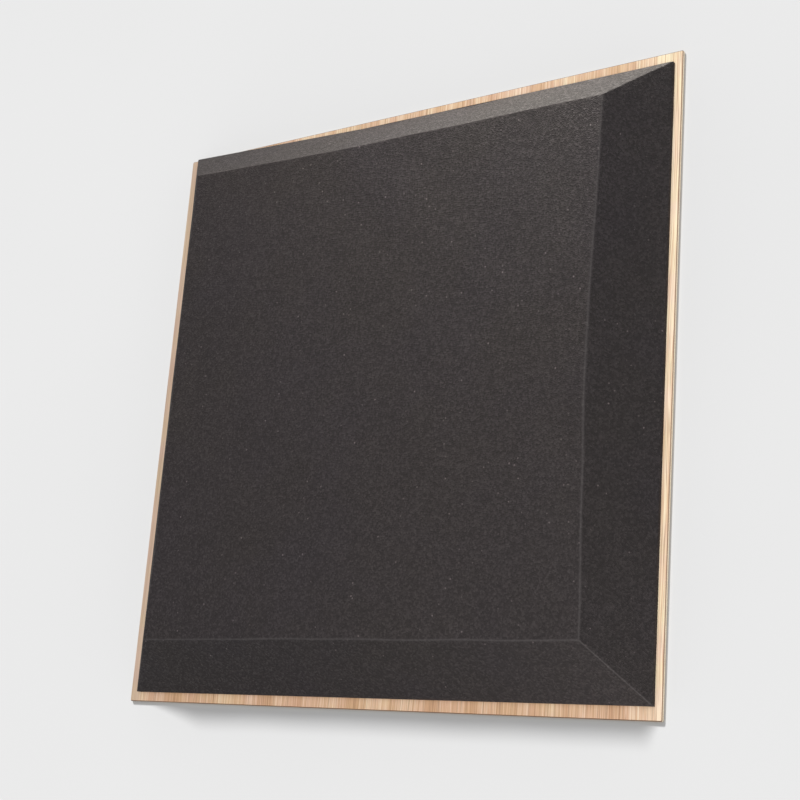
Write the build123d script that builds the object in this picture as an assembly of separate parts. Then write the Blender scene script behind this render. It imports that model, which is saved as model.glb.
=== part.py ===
from build123d import *
import os

os.makedirs("parts", exist_ok=True)

# A bevelled foam pad on a thin plywood board. Sizes in millimetres.
# +Z is the panel's front and +Y its upper edge. The board's underside is at Z = 0.

# The plywood board
board_width = 600.0
board_height = 600.0
board_thickness = 3.0
board_corner_radius = 1.5
board_arris = 0.8

# The bare rim of plywood round the pad, which was stuck on by hand a little out of square
rim_left = 12.0
rim_right_low = 7.0
rim_right_high = 8.0
rim_bottom_left = 9.5
rim_bottom_right = 12.0
rim_top_right = 11.5

# The pad's upper side bends at this share of its length from the left, and from there runs out to the corner
upper_bend_share = 0.40
rim_top_bend = 8.5
rim_top_left = 0.5

# The foam pad: a low straight edge, then a bevel up to the flat front, cut to slightly uneven runs
pad_thickness = 50.0
pad_edge_height = 4.0
bevel_run_bottom = 48.0
bevel_run_right = 46.0
bevel_run_top = 43.0
bevel_run_left = 46.0


def backing_board():
    """The flat sheet of plywood: corners just rubbed round, and the front arris eased all the way round."""
    outline = RectangleRounded(board_width, board_height, board_corner_radius)
    sheet = extrude(outline, board_thickness)
    front_edges = sheet.faces().sort_by(Axis.Z)[-1].edges()
    return chamfer(front_edges, board_arris)


def pad_foot():
    """The foot's corners, anticlockwise from the lower left, with the upper side's bend as the last but one."""
    half_width = board_width / 2
    half_height = board_height / 2
    left = rim_left - half_width
    low_right = half_width - rim_right_low
    high_right = half_width - rim_right_high
    bend = left + upper_bend_share * (high_right - left)
    return [
        Vector(left, rim_bottom_left - half_height),
        Vector(low_right, rim_bottom_right - half_height),
        Vector(high_right, half_height - rim_top_right),
        Vector(bend, half_height - rim_top_bend),
        Vector(left, half_height - rim_top_left),
    ]


def moved_in(start, end, distance):
    """The line from start to end, moved square to itself to its left, as a point on it and its heading."""
    heading = (end - start).normalized()
    return start + Vector(-heading.Y, heading.X) * distance, heading


def crossing(first, second):
    """The point where two lines cross, each given as a point and a heading."""
    point, heading = first
    other_point, other_heading = second
    gap = other_point - point
    share = gap.cross(other_heading).Z / heading.cross(other_heading).Z
    return point + heading * share


def drawn_in(corners, distances):
    """The outline with each side moved in by its own distance."""
    ends = corners[1:] + corners[:1]
    sides = [moved_in(start, end, distance) for start, end, distance in zip(corners, ends, distances)]
    return [crossing(before, after) for before, after in zip(sides[-1:] + sides[:-1], sides)]


def at_height(corners, height):
    """Plane corners lifted to a height."""
    return [Vector(corner.X, corner.Y, height) for corner in corners]


def face_through(corners):
    """The flat face bounded by straight lines through its corners."""
    return Face(Wire.make_polygon(corners, close=True))


def band(lower, upper):
    """The flat faces between two rings of corners."""
    count = len(lower)
    following = [(index, (index + 1) % count) for index in range(count)]
    return [face_through([lower[here], lower[there], upper[there], upper[here]]) for here, there in following]


def foam_pad():
    """The pad: the foot raised straight to its lip, then drawn in along flat bevels to the flat front."""
    runs = [bevel_run_bottom, bevel_run_right, bevel_run_top, bevel_run_top, bevel_run_left]
    foot = at_height(pad_foot(), board_thickness)
    lip = at_height(pad_foot(), board_thickness + pad_edge_height)
    front = at_height(drawn_in(pad_foot(), runs), board_thickness + pad_thickness)
    faces = [face_through(foot), *band(foot, lip), *band(lip, front), face_through(front)]
    return Solid(Shell(faces))


def write_node(name, shape):
    """Writes one named piece to its own STEP file."""
    shape.label = name
    export_step(shape, f"parts/{name}.step")


write_node("backing_board", backing_board())
write_node("foam_pad", foam_pad())
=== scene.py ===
import math

import bmesh
import bpy
import numpy as np
from mathutils import Matrix, Vector


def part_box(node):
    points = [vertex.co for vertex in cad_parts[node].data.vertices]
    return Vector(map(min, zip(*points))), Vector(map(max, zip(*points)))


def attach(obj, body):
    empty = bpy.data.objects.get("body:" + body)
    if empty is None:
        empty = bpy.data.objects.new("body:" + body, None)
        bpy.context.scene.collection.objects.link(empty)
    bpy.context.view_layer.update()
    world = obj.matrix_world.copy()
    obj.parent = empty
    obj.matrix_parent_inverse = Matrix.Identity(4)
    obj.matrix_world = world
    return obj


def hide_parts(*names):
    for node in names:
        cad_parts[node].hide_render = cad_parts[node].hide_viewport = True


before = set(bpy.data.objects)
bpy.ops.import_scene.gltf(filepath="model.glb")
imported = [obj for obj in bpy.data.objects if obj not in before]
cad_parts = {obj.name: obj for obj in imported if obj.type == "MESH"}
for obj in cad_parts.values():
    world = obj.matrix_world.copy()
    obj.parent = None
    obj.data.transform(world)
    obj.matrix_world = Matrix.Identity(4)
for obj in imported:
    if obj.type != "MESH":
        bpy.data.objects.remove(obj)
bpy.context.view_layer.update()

# A charcoal foam pad with a flat front and four wide bevels, stuck on a thin plywood board.
# The panel lies on its back: +Z is its front and +Y its upper edge. Sizes in metres.

MM = 0.001

board_low, board_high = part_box("backing_board")
pad_low, pad_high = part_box("foam_pad")
board_thickness = board_high.z - board_low.z
pad_thickness = pad_high.z - pad_low.z

# The foam pad. Its upper side bends at a share of its length from the left, so it counts as two sides.
pad_edge_height = 4 * MM
lower_right_rise = 2.5 * MM
upper_right_inset = 1.0 * MM
upper_right_rim = 11.5 * MM
bend_rim = 8.5 * MM
bend_share = 0.40
bevel_run_bottom = 48 * MM
bevel_run_right = 46 * MM
bevel_run_top = 43 * MM
bevel_run_left = 46 * MM
arris_rounding = 1.5 * MM
lip_rounding = 0.8 * MM

# The front's right crease was cut hollow: its depth at the middle, and how far over the front that fades out
crease_hollow = 6 * MM
hollow_spread = 200 * MM

# How the cut foam strays from true, and the waves of each stray. The swell is sunk, so that most of it lies
# under the flat front. On the bevels it and the cells' relief grow from nothing at the lip, and are whole
# from the relief height up.
arris_wander = 0.30 * MM
arris_waves = {"shortest": 0.07, "longest": 0.25, "count": 9, "seed": 5}
front_swell = 0.20 * MM
swell_waves = {"shortest": 0.06, "longest": 0.22, "count": 14, "seed": 11}
swell_sink = 1.2
cell_relief = 0.035 * MM
cell_waves = {"shortest": 0.0055, "longest": 0.011, "count": 48, "seed": 23}
relief_height = 3 * pad_edge_height

# The grid on the foam: fine beside each crease and coarse between them. The rows up its straight edge are
# shares of the way to the lip, and the lip has a few steps of its own.
fine_step = 0.35 * MM
coarse_step = 2.3 * MM
step_growth = 1.35
edge_rows = np.array([0, 0.5, 0.8, 1])
lip_steps = 4
weld_distance = 0.01 * MM
sharp_angle = math.radians(50)

# The camera
camera_place = Vector((0.8534, -0.3729, 1.1645))
camera_aim = Vector((0.0135, -0.0050, 0.0030))
camera_roll = math.radians(4.43)
camera_lens = 69.0
camera_sensor = 36.0

# The floor and the light all round it. The camera sees the backdrop as pale as the open floor.
floor_reach = 60.0
floor_drop = 0.2 * MM
world_strength = 0.60
backdrop_strength = 0.83

# The lamps: turns and lifts in degrees, places, aims and sizes in metres, and powers in watts. The sun's
# strength is in watts per square metre.
panel_middle = (0, 0, 0)
front_turn = 315
front_lift = 70
front_distance = 1.5
front_size = 1.0
front_power = 11.4
rim_place = (0.15, 0.8, 0.7)
rim_aim = (0.1, 0.3, 0)
rim_size = 0.3
rim_power = 2.1
side_place = (1.3, 0.1, 0.25)
side_aim = (0.3, 0, 0)
side_size = 0.4
side_power = 4.0
upper_place = (0.0, 0.8, 0.18)
upper_power = 5.0
corner_place = (0.2, 0.8, 0.10)
corner_power = 5.9
upper_aim = (0.1, 0.2, 0.02)
lower_place = (0.4, -0.6, 0.10)
lower_aim = (0.2, -0.2, 0.02)
lower_power = 1.1
near_size = 0.2
foot_place = (0.42, 0.0, 0.03)
foot_aim = (0.29, 0.0, 0.02)
foot_length = 0.6
foot_height = 0.06
foot_power = 0.06
sun_turn = 116
sun_lift = 33
sun_distance = 3.0
sun_strength = 3.90
sun_angle = math.radians(8)

# The foam's finish
cell_size = 1.65 * MM
cell_depth = 0.35 * MM
cell_contrast = 0.42
# The struts are painted paler than the cells' hollows by this: painted shade in the pores.
strut_painted_light = 0.10
skin_size = 2.0 * MM
skin_share = 0.008
# A few cells' skin is real, and its colour is lifted this much as a painted glint.
skin_glint_lift = 5.0
patch_size = 14 * MM
patch_contrast = 0.10
drift_size = 90 * MM
# The bevels' colour is painted darker than the front's by this factor: painted shade.
bevel_painted_shade = 0.80
# The arrises are painted pale by this share: a painted highlight.
crease_highlight = 0.75
crease_width = 1.25 * MM
foam_roughness = 0.72
cell_smoothing = 0.16
skin_smoothing = 0.25
foam_specular = 0.25

# The foam is a bevel, painted darker as painted shade, where the upward part of its normal is under the
# first, and the front, left unshaded, over the second
bevel_facing = 0.80
front_facing = 0.97

# Inside the foam's cells: a cell's shade is its random number to a power, times a top, and its struts and its
# depth share the relief. The pairs are the distances, as shares of a cell, where a speck, a strut and the
# depth start and where they are whole.
tone_power = 2
tone_top = 1.5
strut_share = 0.5
speck_edge = (0.6, 0.15)
strut_edge = (0.16, 0.02)
depth_edge = (0.1, 0.7)

# The wood's grain: how far its lines sway and over what length, and the noise of each look, which starts at
# one level and is whole at another. Then the size of the finer streaks, what each look adds to the tone and
# what is taken off it, and how far the pores darken it.
grain_sway = 9 * MM
grain_sway_length = 180 * MM
grain_looks = {
    "Bands": {"width": 15 * MM, "length": 700 * MM, "detail": 2.0, "start": 0.30, "whole": 0.70},
    "Streaks": {"width": 1.4 * MM, "length": 160 * MM, "detail": 3.0, "start": 0.28, "whole": 0.72},
    "Pores": {"width": 0.8 * MM, "length": 45 * MM, "detail": 1.0, "start": 0.56, "whole": 0.70},
}
fine_grain = 0.35
band_share = 0.35
streak_share = 0.35
fine_share = 0.4
tone_shift = 0.05
pore_share = 0.45

# The wood's finish. The back's grain is the front's, read from another place.
back_shift = (0.37, 0.11, 0)
tint_size = 26 * MM
handling_size = 30 * MM
handling_share = 0.08
wood_roughness = 0.62
pale_smoothing = 0.15
grain_depth = 0.06 * MM
grain_strength = 0.8
wood_specular = 0.35

# The board's cut edge: the plies' depths, how ragged they are, and the grain along them
veneer_depth = 0.62 * MM
glue_depth = 0.16 * MM
rag_size = 1.2 * MM
rag_depth = 0.25 * MM
edge_grain = 0.5
edge_line_share = 0.3

# The board is a cut edge where the upright part of its normal is under the first, and a face over the second
cut_facing = 0.85
face_facing = 0.95

# Where the front veneer is painted paler as painted light, across the board towards its right edge and up it
# towards its top, where it is greyer, and by how much
right_light_start = 270 * MM
right_light_end = 291 * MM
right_painted_light = 0.36
top_light_start = -200 * MM
top_light_end = 260 * MM
top_painted_light = 0.16
greyed_start = -284 * MM
greyed_end = -291 * MM
greyed_share = 0.5

# The floor's finish
floor_cloud_size = 0.5
floor_roughness = 0.9


def rgba(red, green, blue):
    """An opaque colour in linear light."""
    return (red, green, blue, 1.0)


# The colours of the foam, the wood, the low lamps and the floor
foam_cool = rgba(0.0247, 0.0199, 0.0218)
foam_warm = rgba(0.0251, 0.0203, 0.0201)
# The pale grey painted on the foam's arrises as a highlight
foam_crease_highlight = rgba(0.060, 0.053, 0.054)
wood_pore = rgba(0.26, 0.13, 0.07)
front_veneer = [
    (0.0, rgba(0.36, 0.185, 0.10)),
    (0.3, rgba(0.58, 0.345, 0.205)),
    (0.55, rgba(0.68, 0.45, 0.295)),
    (0.75, rgba(0.75, 0.545, 0.385)),
    (1.0, rgba(0.92, 0.79, 0.60)),
]
pink_tint = rgba(1.0, 0.955, 0.98)
straw_tint = rgba(0.99, 1.0, 0.90)
back_veneer = [
    (0.0, rgba(0.34, 0.21, 0.13)),
    (0.4, rgba(0.50, 0.34, 0.22)),
    (0.7, rgba(0.58, 0.42, 0.29)),
    (1.0, rgba(0.66, 0.51, 0.37)),
]
greyed_veneer = rgba(0.53, 0.45, 0.38)
veneer_end = rgba(0.18, 0.10, 0.06)
veneer_length = rgba(0.30, 0.18, 0.11)
core_end = rgba(0.88, 0.78, 0.60)
core_length = rgba(0.80, 0.70, 0.55)
glue_brown = rgba(0.10, 0.05, 0.03)
glue_pale = rgba(0.45, 0.33, 0.22)
back_cut = rgba(0.76, 0.64, 0.48)
warm_light = (1.0, 0.95, 0.86)
floor_low = rgba(0.645, 0.645, 0.645)
floor_high = rgba(0.655, 0.655, 0.655)


# The foam's surface

def unit(vectors):
    """Each row of an array of vectors divided by its length."""
    return vectors / np.linalg.norm(vectors, axis=-1, keepdims=True)


def turned_left(vectors):
    """Plane vectors turned a quarter turn anticlockwise: (x, y) becomes (-y, x)."""
    return np.stack([-vectors[..., 1], vectors[..., 0]], axis=-1)


def side_normals(corners):
    """The inward unit normal of each side of an anticlockwise outline."""
    return turned_left(unit(np.roll(corners, -1, axis=0) - corners))


def drawn_in(corners, distances):
    """The outline with each side moved in: each corner solves normal . point = offset + distance for its two
    sides."""
    normals = side_normals(corners)
    offsets = np.sum(normals * corners, axis=1) + distances
    pairs = np.stack([np.roll(normals, 1, axis=0), normals], axis=1)
    levels = np.stack([np.roll(offsets, 1), offsets], axis=1)
    return np.linalg.solve(pairs, levels[..., None])[..., 0]


def graded(length):
    """Fractions from 0 to 1 along a length, with steps that grow from fine at both ends to coarse between."""
    growing = math.ceil(math.log(coarse_step / fine_step) / math.log(step_growth))
    climb = fine_step * step_growth ** np.arange(growing)
    middle = length - 2 * climb.sum()
    count = round(middle / coarse_step)
    steps = np.concatenate([climb, np.full(count, middle / count), climb[::-1]])
    return np.concatenate([[0.0], np.cumsum(steps)]) / steps.sum()


def along_path(corners, stops, fraction):
    """Points at fractions of the way along a path that passes its corners at the stops."""
    return np.stack([np.interp(fraction, stops, corners[:, axis]) for axis in (0, 1)], axis=-1)


def ripple(points, shortest, longest, count, seed):
    """A smooth random field of unit spread: plane waves cos(k . p + phase) added up, and divided by their
    root mean square."""
    draw = np.random.default_rng(seed)
    heading = draw.uniform(0, 2 * math.pi, count)
    length = shortest * (longest / shortest) ** draw.uniform(0, 1, count)
    phase = draw.uniform(0, 2 * math.pi, count)
    total = np.zeros(points.shape[:-1])
    for turn, wave, shift in zip(heading, length, phase):
        along = points[..., 0] * math.cos(turn) + points[..., 1] * math.sin(turn)
        total += np.cos(2 * math.pi * along / wave + shift)
    return total / math.sqrt(count / 2)


def smooth_step(value, low, high):
    """0 below low, 1 above high, and 3t^2 - 2t^3 between them."""
    t = np.clip((value - low) / (high - low), 0, 1)
    return t * t * (3 - 2 * t)


def soft_minimum(first, second, width):
    """The lower of two heights, rounded over a band where they differ by less than the width:
    lower - (width - difference)^2 / 4 width."""
    overlap = np.maximum(width - np.abs(first - second), 0)
    return np.minimum(first, second) - overlap**2 / (4 * width)


def hollow_at(points):
    """How far in the front's right crease lies of its straight line: sin^2 of a half turn along it."""
    start = front_corners[1]
    run = front_corners[2] - start
    along = np.clip((points - start) @ run / (run @ run), 0, 1)
    return crease_hollow * np.sin(math.pi * along) ** 2


def drawn_with_crease(points):
    """Plane points drawn in with the hollow crease: by all of it on the crease, and by less and less of it
    towards the foot and over the front."""
    normal = side_normals(foot)[1]
    inward = (points - foot[1]) @ normal
    over_bevel = inward / bevel_run_right
    over_front = 1 - (inward - bevel_run_right) / hollow_spread
    share = np.clip(np.minimum(over_bevel, over_front), 0, 1)
    return points + (hollow_at(points) * share)[..., None] * normal


def foam_planes(points):
    """Heights over the pad's base of its four bevels and its front at plane points, in that order. Each bevel
    rises with the distance in from its side, the right one over a longer run where its crease is hollow. The
    upper one has two halves that meet in a hollow bend, where the higher of the two counts."""
    normals = side_normals(foot)
    inward = np.einsum("...j,ij->...i", points, normals) - np.sum(normals * foot, axis=1)
    inward = inward + arris_wander * ripple(points, **arris_waves)[..., None]
    runs = np.broadcast_to(bevel_runs, inward.shape).copy()
    runs[..., 1] += hollow_at(points)
    heights = pad_edge_height + (pad_thickness - pad_edge_height) * inward / runs
    lower, right, upper_right, upper_left, left = np.moveaxis(heights, -1, 0)
    front = np.full(points.shape[:-1], pad_thickness)
    return np.stack([lower, right, np.maximum(upper_right, upper_left), left, front], axis=-1)


def foam_height(points):
    """The foam's height over its base: the soft minimum of its five planes, plus a faint swell and the cells'
    relief, which grow from nothing at the lip."""
    planes = foam_planes(points)
    height = planes[..., 4]
    for side in range(4):
        height = soft_minimum(height, planes[..., side], arris_rounding)
    swell = front_swell * (ripple(points, **swell_waves) - swell_sink)
    cells = cell_relief * ripple(points, **cell_waves)
    return height + (swell + cells) * smooth_step(planes[..., :4].min(-1), pad_edge_height, relief_height)


def crease_share(points):
    """1 on a crease of the foam and 0 away from it: one less the gap between its two lowest planes over the
    crease's width."""
    planes = np.sort(foam_planes(points), axis=-1)
    return np.clip(1 - (planes[..., 1] - planes[..., 0]) / crease_width, 0, 1)


def front_patch():
    """The flat front: plane points blended between its lower and upper sides, at the foam's height."""
    below = along_path(front_corners[[0, 1]], [0, 1], along_x)[None]
    above = along_path(front_corners[[4, 3, 2]], [0, bend_share, 1], along_x)[None]
    plane = drawn_with_crease(below + (above - below) * along_y[:, None, None])
    return plane, foam_height(plane)


def side_patch(corners, stops, along):
    """One straight edge and its bevel: a profile of distance in and height, carried along the foot's path
    through the numbered corners. The profile climbs the edge, rounds its lip on a quadratic curve, and
    follows the foam's height up the bevel. Distances in are shares of the mean run, so that neighbours meet
    on their mitre."""
    mean_run = bevel_runs.mean()
    climb = edge_rows * (pad_edge_height - lip_rounding)
    t = np.arange(1, lip_steps + 1) / lip_steps
    lip_end = lip_rounding / math.sqrt(2)
    lip_in = t**2 * lip_end
    lip_up = (1 - t) ** 2 * (pad_edge_height - lip_rounding) + 2 * t * (1 - t) * pad_edge_height
    lip_up = lip_up + t**2 * (pad_edge_height + lip_end)
    bevel_in = lip_end + graded(mean_run - lip_end)[1:] * (mean_run - lip_end)
    inward = np.concatenate([np.zeros(len(climb)), lip_in, bevel_in]) / mean_run
    low = along_path(foot[corners], stops, along)[None]
    high = along_path(front_corners[corners], stops, along)[None]
    plane = drawn_with_crease(low + (high - low) * inward[:, None, None])
    height = foam_height(plane)
    start = len(climb) + len(lip_in)
    height[:start] = np.concatenate([climb, lip_up])[:, None]
    return plane, height


def grid_faces(rows, columns, first):
    """The four-sided faces of a grid of points, which are stored row by row from index first."""
    corner = first + np.arange(rows - 1)[:, None] * columns + np.arange(columns - 1)[None]
    faces = np.stack([corner, corner + 1, corner + columns + 1, corner + columns], axis=-1)
    return faces.reshape(-1, 4)


def base_fan(sides, first):
    """The flat base: the points of the sides' lowest rows and their mean, and a fan of triangles from the
    mean to each stretch of the ring, facing down. The points are numbered from first."""
    ring = np.concatenate([plane[0, :-1] for plane, height in sides])
    base = np.concatenate([ring, ring.mean(0, keepdims=True)])
    points = np.column_stack([base, np.full(len(base), pad_low.z)])
    here = first + np.arange(len(ring))
    fan = np.stack([np.roll(here, -1), here, np.full(len(ring), first + len(ring))], axis=-1)
    return points, fan


def foam_mesh():
    """The pad as one closed surface: the front, four sides and the base. The crease attribute says where its
    arrises are."""
    patches = [
        front_patch(),
        side_patch([0, 1], [0, 1], along_x),
        side_patch([1, 2], [0, 1], along_y),
        side_patch([2, 3, 4], [0, 1 - bend_share, 1], along_x),
        side_patch([4, 0], [0, 1], along_y),
    ]
    points, faces, creases = [], [], []
    count = 0
    for plane, height in patches:
        rows, columns = height.shape
        points.append(np.concatenate([plane, pad_low.z + height[..., None]], axis=-1).reshape(-1, 3))
        creases.append(crease_share(plane).ravel())
        faces += grid_faces(rows, columns, count).tolist()
        count += rows * columns
    base, fan = base_fan(patches[1:], count)
    points.append(base)
    creases.append(np.zeros(len(base)))
    mesh = bpy.data.meshes.new("acoustic_foam")
    mesh.from_pydata(np.concatenate(points).tolist(), [], faces + fan.tolist())
    mesh.attributes.new("crease", "FLOAT", "POINT").data.foreach_set("value", np.concatenate(creases))
    weld(mesh)
    mesh.set_sharp_from_angle(angle=sharp_angle)
    return mesh


def weld(mesh):
    """Joins the points that neighbouring patches share, and shades the surface smooth."""
    build = bmesh.new()
    build.from_mesh(mesh)
    bmesh.ops.remove_doubles(build, verts=build.verts, dist=weld_distance)
    build.to_mesh(mesh)
    build.free()
    mesh.polygons.foreach_set("use_smooth", np.ones(len(mesh.polygons), bool))
    mesh.update()


def placed(name, mesh):
    """A new object for a mesh, linked to the scene at the origin."""
    made = bpy.data.objects.new(name, mesh)
    bpy.context.scene.collection.objects.link(made)
    return made


# How a shader is wired

def feed(tree, made, joins):
    """Sets or joins inputs: joins gives an input's name or number a value or another node's output."""
    for place, source in joins.items():
        if isinstance(source, bpy.types.NodeSocket):
            tree.links.new(source, made.inputs[place])
        else:
            made.inputs[place].default_value = source
    return made


def node(tree, kind, joins=None, **settings):
    """A new shader node, with its own settings made and its inputs fed."""
    made = tree.nodes.new("ShaderNode" + kind)
    for name, setting in settings.items():
        setattr(made, name, setting)
    return feed(tree, made, joins or {})


def maths(tree, operation, *terms):
    """The output of a math node on numbers and sockets."""
    return node(tree, "Math", dict(enumerate(terms)), operation=operation).outputs[0]


def rise(tree, value, low, high):
    """A smooth step: 0 where the value is at low and 1 where it is at high, which may be the smaller."""
    ends = {"Value": value, "From Min": low, "From Max": high}
    return node(tree, "MapRange", ends, interpolation_type="SMOOTHSTEP").outputs["Result"]


def blend(tree, share, first, second, kind="MIX"):
    """A colour between two by share; kind is how the second lies on the first. A Mix node takes its colours
    at inputs 6 and 7 and gives one at output 2."""
    joins = {0: share, 6: first, 7: second}
    return node(tree, "Mix", joins, data_type="RGBA", blend_type=kind).outputs[2]


def parts(tree, vector):
    """The three numbers of a vector."""
    return node(tree, "SeparateXYZ", {0: vector}).outputs


def drawn_out(tree, vector, scale, shift=(0, 0, 0)):
    """Coordinates shifted, and squeezed by a scale on each axis, so that a pattern on them is drawn out."""
    return node(tree, "Mapping", {"Vector": vector, "Scale": scale, "Location": shift}).outputs[0]


def noise(tree, vector, size, detail=2.0, roughness=0.5):
    """Cloudy noise between 0 and 1 whose largest clouds are about a size across."""
    scale = maths(tree, "DIVIDE", 1, size)
    joins = {"Vector": vector, "Scale": scale, "Detail": detail, "Roughness": roughness}
    return node(tree, "TexNoise", joins).outputs[0]


def ramp(tree, value, stops):
    """A colour looked up by value on a strip of stops, each a place and a colour."""
    made = node(tree, "ValToRGB", {0: value})
    strip = made.color_ramp.elements
    while len(strip) < len(stops):
        strip.new(0.5)
    for element, (place, colour) in zip(strip, stops):
        element.position = place
        element.color = colour
    return made.outputs[0]


# Effects that the materials share

def effect_group(name, numbers, outputs):
    """A new node group with a Vector input, number inputs with their first values, and number outputs."""
    tree = bpy.data.node_groups.new(name, "ShaderNodeTree")
    tree.interface.new_socket("Vector", in_out="INPUT", socket_type="NodeSocketVector")
    for label, value in numbers.items():
        tree.interface.new_socket(label, in_out="INPUT", socket_type="NodeSocketFloat").default_value = value
    for label in outputs:
        tree.interface.new_socket(label, in_out="OUTPUT", socket_type="NodeSocketFloat")
    return tree, tree.nodes.new("NodeGroupInput").outputs, tree.nodes.new("NodeGroupOutput")


def effect(tree, group, **joins):
    """A node group placed in a material, with its inputs fed."""
    made = tree.nodes.new("ShaderNodeGroup")
    made.node_tree = group
    return feed(tree, made, joins).outputs


def clouds_group():
    """Clouds: soft noise of a size, its levels from a quarter to three quarters spread over 0 to 1."""
    tree, given, out = effect_group("clouds", {"Size": 0.02}, ["Clouds"])
    soft = noise(tree, given["Vector"], given["Size"], detail=3.0)
    feed(tree, out, {"Clouds": rise(tree, soft, 0.25, 0.75)})
    return tree


def specks_group():
    """Specks: round dots in the few cells of a random foam whose own random number is within a share of 1,
    brighter the nearer it is to 1."""
    tree, given, out = effect_group("specks", {"Size": 0.002, "Share": 0.01}, ["Specks"])
    scale = maths(tree, "DIVIDE", 1, given["Size"])
    cells = node(tree, "TexVoronoi", {"Vector": given["Vector"], "Scale": scale}).outputs
    draw = node(tree, "SeparateColor", {0: cells["Color"]}).outputs[1]
    over = maths(tree, "SUBTRACT", draw, maths(tree, "SUBTRACT", 1, given["Share"]))
    chosen = maths(tree, "MAXIMUM", maths(tree, "DIVIDE", over, given["Share"]), 0)
    round_dot = rise(tree, cells["Distance"], *speck_edge)
    feed(tree, out, {"Specks": maths(tree, "MULTIPLY", chosen, round_dot)})
    return tree


def foam_cells_group():
    """Open cells cut through: Tone is each cell's own shade, with few bright ones, Struts the net of strands
    between cells, and Height the relief, low in a cell and high on a strand."""
    tree, given, out = effect_group("foam_cells", {"Size": 0.0012}, ["Tone", "Struts", "Height"])
    scale = maths(tree, "DIVIDE", 1, given["Size"])
    pattern = {"Vector": given["Vector"], "Scale": scale}
    cells = node(tree, "TexVoronoi", pattern).outputs
    net = node(tree, "TexVoronoi", pattern, feature="DISTANCE_TO_EDGE").outputs
    struts = rise(tree, net["Distance"], *strut_edge)
    draw = node(tree, "SeparateColor", {0: cells["Color"]}).outputs[0]
    shade = maths(tree, "MULTIPLY", maths(tree, "POWER", draw, tone_power), tone_top)
    depth = rise(tree, cells["Distance"], *depth_edge)
    from_depth = maths(tree, "MULTIPLY", depth, 1 - strut_share)
    height = maths(tree, "MULTIPLY_ADD", struts, strut_share, from_depth)
    feed(tree, out, {"Tone": shade, "Struts": struts, "Height": height})
    return tree


def wood_grain_group():
    """Sliced wood whose grain runs along Y: Bands are broad strips, Streaks fine lines, and Pores short
    dark dashes. Each is noise squeezed by its width over its length along the grain, on lines that sway a
    little. Size makes a look narrower or wider."""
    tree, given, out = effect_group("wood_grain", {"Size": 1.0}, ["Bands", "Streaks", "Pores"])
    sway = noise(tree, given["Vector"], grain_sway_length, detail=1.0)
    sideways = maths(tree, "MULTIPLY", maths(tree, "SUBTRACT", sway, 0.5), grain_sway)
    step = node(tree, "CombineXYZ", {0: sideways}).outputs[0]
    place = node(tree, "VectorMath", {0: given["Vector"], 1: step}).outputs[0]
    for label, look in grain_looks.items():
        squeezed = drawn_out(tree, place, (1, look["width"] / look["length"], 1))
        wide = maths(tree, "MULTIPLY", given["Size"], look["width"])
        lines = noise(tree, squeezed, wide, look["detail"])
        feed(tree, out, {label: rise(tree, lines, look["start"], look["whole"])})
    return tree


# Materials

def finish(name):
    """A new material, its node tree, its shader and its object coordinates."""
    material = bpy.data.materials.new(name)
    material.use_nodes = True
    tree = material.node_tree
    return material, tree, tree.nodes["Principled BSDF"], node(tree, "TexCoord").outputs


def foam_finish():
    """Charcoal foam: every cell a slightly different grey, struts painted paler than the cells' hollows as
    painted shade, a few skin windows left across a cell and painted bright as glints, faint clouds of shade
    and of tint, bevels painted darker than the front as painted shade, and arrises painted pale as a
    painted highlight."""
    material, tree, shader, coordinates = finish("charcoal_foam")
    place = coordinates["Object"]
    cells = effect(tree, foam_cells, Vector=place, Size=cell_size)
    skin_glints = effect(tree, specks, Vector=place, Size=skin_size, Share=skin_share)["Specks"]
    patches = effect(tree, clouds, Vector=place, Size=patch_size)["Clouds"]
    drifts = effect(tree, clouds, Vector=place, Size=drift_size)["Clouds"]
    colour = blend(tree, drifts, foam_cool, foam_warm)
    shade = maths(tree, "MULTIPLY_ADD", cells["Tone"], cell_contrast, 1 - cell_contrast / 2)
    # Painted shade: the cells' hollows stay darker than the pale struts around them.
    shade = maths(tree, "MULTIPLY_ADD", cells["Struts"], strut_painted_light, shade)
    shade = maths(tree, "SUBTRACT", shade, patch_contrast / 2)
    shade = maths(tree, "MULTIPLY_ADD", patches, patch_contrast, shade)
    # Painted glint: a few cells' skin is made several times brighter.
    shade = maths(tree, "MULTIPLY_ADD", skin_glints, skin_glint_lift, shade)
    # Painted shade: the colour is darkened where the normal tilts away from the front, on the bevels.
    level = rise(tree, parts(tree, coordinates["Normal"])[2], bevel_facing, front_facing)
    shade = maths(tree, "MULTIPLY", shade, maths(tree, "MULTIPLY_ADD", level, 1 - bevel_painted_shade, bevel_painted_shade))
    grey = node(tree, "CombineColor", {0: shade, 1: shade, 2: shade}).outputs[0]
    colour = blend(tree, 1, colour, grey, "MULTIPLY")
    # Painted highlight: the arrises are blended towards a pale grey.
    crease = node(tree, "Attribute", attribute_name="crease").outputs["Fac"]
    colour = blend(tree, maths(tree, "MULTIPLY", crease, crease_highlight), colour, foam_crease_highlight)
    rough = maths(tree, "MULTIPLY_ADD", cells["Tone"], -cell_smoothing, foam_roughness + cell_smoothing / 2)
    rough = maths(tree, "MULTIPLY_ADD", skin_glints, -skin_smoothing, rough)
    bump = node(tree, "Bump", {"Height": cells["Height"], "Distance": cell_depth, "Strength": 1.0})
    feed(tree, shader, {"Base Color": colour, "Roughness": rough, "Normal": bump.outputs[0]})
    feed(tree, shader, {"Specular IOR Level": foam_specular})
    return material


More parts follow.
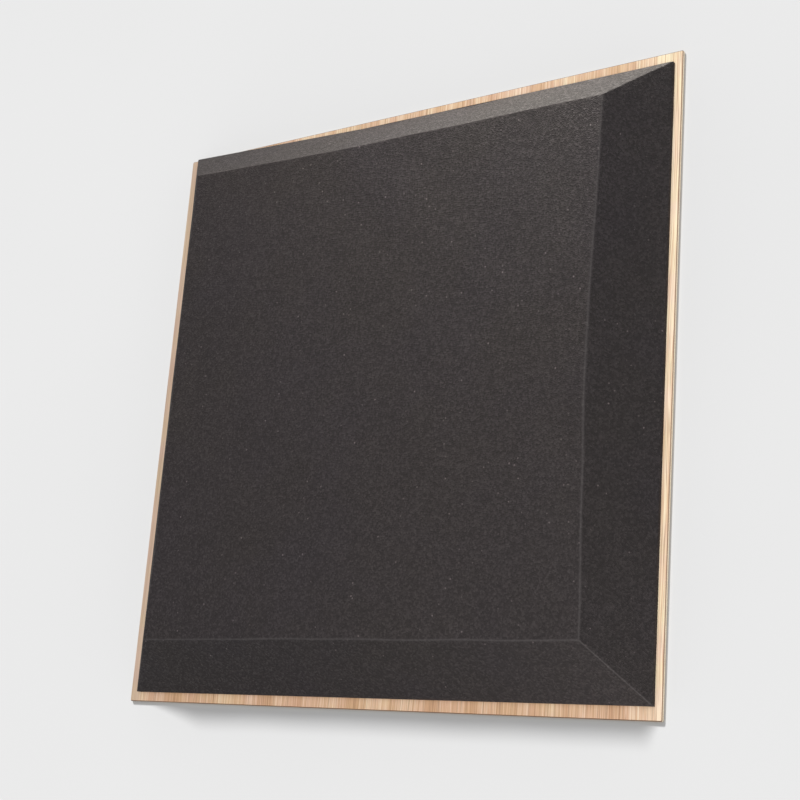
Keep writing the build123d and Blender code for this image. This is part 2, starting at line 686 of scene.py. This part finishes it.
def veneer_grain(tree, place):
    """How pale a veneer's grain is, by its bands, streaks and finer streaks, and where its pores are."""
    grain = effect(tree, wood_grain, Vector=place)
    fine = effect(tree, wood_grain, Vector=place, Size=fine_grain)
    streaks = maths(tree, "MULTIPLY", grain["Streaks"], streak_share)
    tone = maths(tree, "MULTIPLY_ADD", grain["Bands"], band_share, streaks)
    tone = maths(tree, "SUBTRACT", tone, tone_shift)
    return maths(tree, "MULTIPLY_ADD", fine["Streaks"], fine_share, tone), grain["Pores"]


def veneer_colour(tree, tone, pores, stops):
    """The colour of a veneer's face: its tone looked up on stops, and its pores dark."""
    dark = maths(tree, "MULTIPLY", pores, pore_share)
    return blend(tree, dark, ramp(tree, tone, stops), wood_pore)


def ply_stops(skin, core):
    """The colours of the plies from the front down, at shares of the board's thickness: the front veneer, a
    dark glue line, the core, a pale glue line and the back veneer, whose cut is pale."""
    veneer = veneer_depth / board_thickness
    glue = glue_depth / board_thickness
    return [
        (0, skin),
        (veneer, skin),
        (veneer + glue / 2, glue_brown),
        (veneer + glue, core),
        (1 - veneer - glue, core),
        (1 - veneer - glue / 2, glue_pale),
        (1 - veneer, back_cut),
    ]


def edge_colour(tree, place, depth, crosswise):
    """The colour of a cut edge by its depth under the front, a little ragged, with darker lines along it.
    crosswise is 1 where the veneers show end grain and the core its length."""
    rag = maths(tree, "SUBTRACT", noise(tree, place, rag_size, detail=3.0), 0.5)
    ragged = maths(tree, "MULTIPLY_ADD", rag, rag_depth, depth)
    share = maths(tree, "DIVIDE", ragged, board_thickness)
    end_grain = ramp(tree, share, ply_stops(veneer_end, core_length))
    side_grain = ramp(tree, share, ply_stops(veneer_length, core_end))
    colour = blend(tree, crosswise, side_grain, end_grain)
    turned = node(tree, "Mapping", {"Vector": place, "Rotation": (0, 0, math.pi / 2)}).outputs[0]
    grain = effect(tree, wood_grain, Vector=turned, Size=edge_grain)
    line = maths(tree, "MULTIPLY", grain["Streaks"], edge_line_share)
    return blend(tree, line, colour, glue_brown)


def plywood_finish():
    """Thin plywood: streaked peach and tan veneer on the front, painted paler towards its right side and
    its top as painted light, plies on the cut edges, and a plainer veneer on the back."""
    material, tree, shader, coordinates = finish("plywood")
    place = coordinates["Object"]
    facing = parts(tree, coordinates["Normal"])
    across, along, up = parts(tree, place)
    depth = maths(tree, "SUBTRACT", board_high.z, up)
    # Painted light: the front veneer is made paler towards the board's right edge and towards its top.
    pale = maths(tree, "MULTIPLY", rise(tree, across, right_light_start, right_light_end), right_painted_light)
    pale = maths(tree, "MULTIPLY_ADD", rise(tree, along, top_light_start, top_light_end), top_painted_light, pale)
    tone, pores = veneer_grain(tree, place)
    front = veneer_colour(tree, maths(tree, "ADD", tone, pale), pores, front_veneer)
    greyed = maths(tree, "MULTIPLY", rise(tree, across, greyed_start, greyed_end), greyed_share)
    front = blend(tree, greyed, front, greyed_veneer)
    tint = effect(tree, clouds, Vector=place, Size=tint_size)["Clouds"]
    front = blend(tree, 1, front, blend(tree, tint, pink_tint, straw_tint), "MULTIPLY")
    back_tone, back_pores = veneer_grain(tree, drawn_out(tree, place, (1, 1, 1), back_shift))
    back = veneer_colour(tree, back_tone, back_pores, back_veneer)
    sideways, endways, upright = [maths(tree, "ABSOLUTE", part) for part in facing]
    flat = rise(tree, upright, cut_facing, face_facing)
    under = maths(tree, "LESS_THAN", facing[2], 0)
    crosswise = maths(tree, "GREATER_THAN", endways, sideways)
    cut = edge_colour(tree, place, depth, crosswise)
    colour = blend(tree, flat, cut, blend(tree, under, front, back))
    handled = effect(tree, clouds, Vector=place, Size=handling_size)["Clouds"]
    colour = blend(tree, maths(tree, "MULTIPLY", handled, handling_share), colour, wood_pore, "MULTIPLY")
    rough = maths(tree, "MULTIPLY_ADD", tone, -pale_smoothing, wood_roughness)
    height = maths(tree, "SUBTRACT", tone, pores)
    bump = node(tree, "Bump", {"Height": height, "Distance": grain_depth, "Strength": grain_strength})
    feed(tree, shader, {"Base Color": colour, "Roughness": rough, "Normal": bump.outputs[0]})
    feed(tree, shader, {"Specular IOR Level": wood_specular})
    return material


def floor_finish():
    """A plain pale floor with barely visible clouds."""
    material, tree, shader, coordinates = finish("pale_floor")
    drift = effect(tree, clouds, Vector=coordinates["Object"], Size=floor_cloud_size)["Clouds"]
    feed(tree, shader, {"Base Color": blend(tree, drift, floor_low, floor_high)})
    feed(tree, shader, {"Roughness": floor_roughness, "Specular IOR Level": 0.0})
    return material


# The studio

def camera():
    """The camera: looks from its place to its aim with the panel's upper edge up, and rolls a little."""
    ahead = (camera_aim - camera_place).normalized()
    right = ahead.cross(Vector((0, 1, 0))).normalized()
    up = right.cross(ahead)
    facing = Matrix((right, up, -ahead)).transposed()
    rolled = facing @ Matrix.Rotation(camera_roll, 3, "Z")
    data = bpy.data.cameras.new("camera")
    data.lens = camera_lens
    data.sensor_width = camera_sensor
    made = bpy.data.objects.new("camera", data)
    made.matrix_world = Matrix.Translation(camera_place) @ rolled.to_4x4()
    bpy.context.scene.collection.objects.link(made)
    bpy.context.scene.camera = made


def floor_mesh():
    """The floor: one wide square, a hair under the panel."""
    square = [(-1, -1), (1, -1), (1, 1), (-1, 1)]
    corners = [(x * floor_reach, y * floor_reach, -floor_drop) for x, y in square]
    mesh = bpy.data.meshes.new("floor")
    mesh.from_pydata(corners, [], [(0, 1, 2, 3)])
    mesh.materials.append(floor_finish())
    return mesh


def world_light():
    """White light from all round. Only the camera sees the backdrop, at a strength of its own."""
    world = bpy.data.worlds.new("studio")
    world.use_nodes = True
    tree = world.node_tree
    seen = node(tree, "LightPath").outputs["Is Camera Ray"]
    strength = maths(tree, "MULTIPLY_ADD", seen, backdrop_strength - world_strength, world_strength)
    feed(tree, tree.nodes["Background"], {"Color": rgba(1, 1, 1), "Strength": strength})
    bpy.context.scene.world = world


def lamp(name, kind, place, aim, power, lit, **settings):
    """A lamp of a kind that faces its aim and lights only the objects given."""
    data = bpy.data.lights.new(name, kind)
    data.energy = power
    for setting, value in settings.items():
        setattr(data, setting, value)
    made = bpy.data.objects.new(name, data)
    made.location = place
    made.rotation_euler = (Vector(aim) - Vector(place)).to_track_quat("-Z", "Y").to_euler()
    bpy.context.scene.collection.objects.link(made)
    receivers = bpy.data.collections.new(name + "_lights")
    for thing in lit:
        receivers.objects.link(thing)
    made.light_linking.receiver_collection = receivers
    made.visible_camera = False


def around(turn, lift, distance):
    """A place at a distance from the origin, by its turn about Z from +X and its lift above the floor."""
    heading = math.radians(turn)
    climb = math.radians(lift)
    level = math.cos(climb) * distance
    return (math.cos(heading) * level, math.sin(heading) * level, math.sin(climb) * distance)


def panel_lamps():
    """A softbox in front that lights the whole panel, two for the board alone, and four low ones beside the
    pad for its bevels."""
    above = around(front_turn, front_lift, front_distance)
    lamp("front_softbox", "AREA", above, panel_middle, front_power, [pad, board], size=front_size)
    lamp("rim_softbox", "AREA", rim_place, rim_aim, rim_power, [board], size=rim_size)
    lamp("side_softbox", "AREA", side_place, side_aim, side_power, [board], size=side_size)
    near = {"size": near_size, "color": warm_light}
    lamp("upper_softbox", "AREA", upper_place, upper_aim, upper_power, [pad], **near)
    lamp("corner_softbox", "AREA", corner_place, upper_aim, corner_power, [pad], **near)
    lamp("lower_softbox", "AREA", lower_place, lower_aim, lower_power, [pad], **near)
    strip = {"shape": "RECTANGLE", "size": foot_length, "size_y": foot_height}
    lamp("foot_softbox", "AREA", foot_place, foot_aim, foot_power, [pad], **strip)


def floor_lamp():
    """A soft sun that lights the floor alone, so that the panel casts its shadow there."""
    above = around(sun_turn, sun_lift, sun_distance)
    lamp("floor_sun", "SUN", above, panel_middle, sun_strength, [floor], angle=sun_angle)


# The pad's outline at its foot, anticlockwise from the lower left corner, and at its flat front
upper_right_x = pad_high.x - upper_right_inset
foot = np.array([
    (pad_low.x, pad_low.y),
    (pad_high.x, pad_low.y + lower_right_rise),
    (upper_right_x, board_high.y - upper_right_rim),
    (pad_low.x + bend_share * (upper_right_x - pad_low.x), board_high.y - bend_rim),
    (pad_low.x, pad_high.y),
])
bevel_runs = np.array([bevel_run_bottom, bevel_run_right, bevel_run_top, bevel_run_top, bevel_run_left])
front_corners = drawn_in(foot, bevel_runs)
along_x = graded(front_corners[1, 0] - front_corners[0, 0])
along_y = graded(front_corners[4, 1] - front_corners[0, 1])

clouds = clouds_group()
specks = specks_group()
foam_cells = foam_cells_group()
wood_grain = wood_grain_group()

pad = placed("acoustic_foam", foam_mesh())
pad.data.materials.append(foam_finish())
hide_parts("foam_pad")
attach(pad, "root")

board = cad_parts["backing_board"]
board.data.materials.clear()
board.data.materials.append(plywood_finish())

camera()

floor = placed("floor", floor_mesh())

world_light()
panel_lamps()
floor_lamp()
bpy.context.scene.view_settings.view_transform = "Standard"
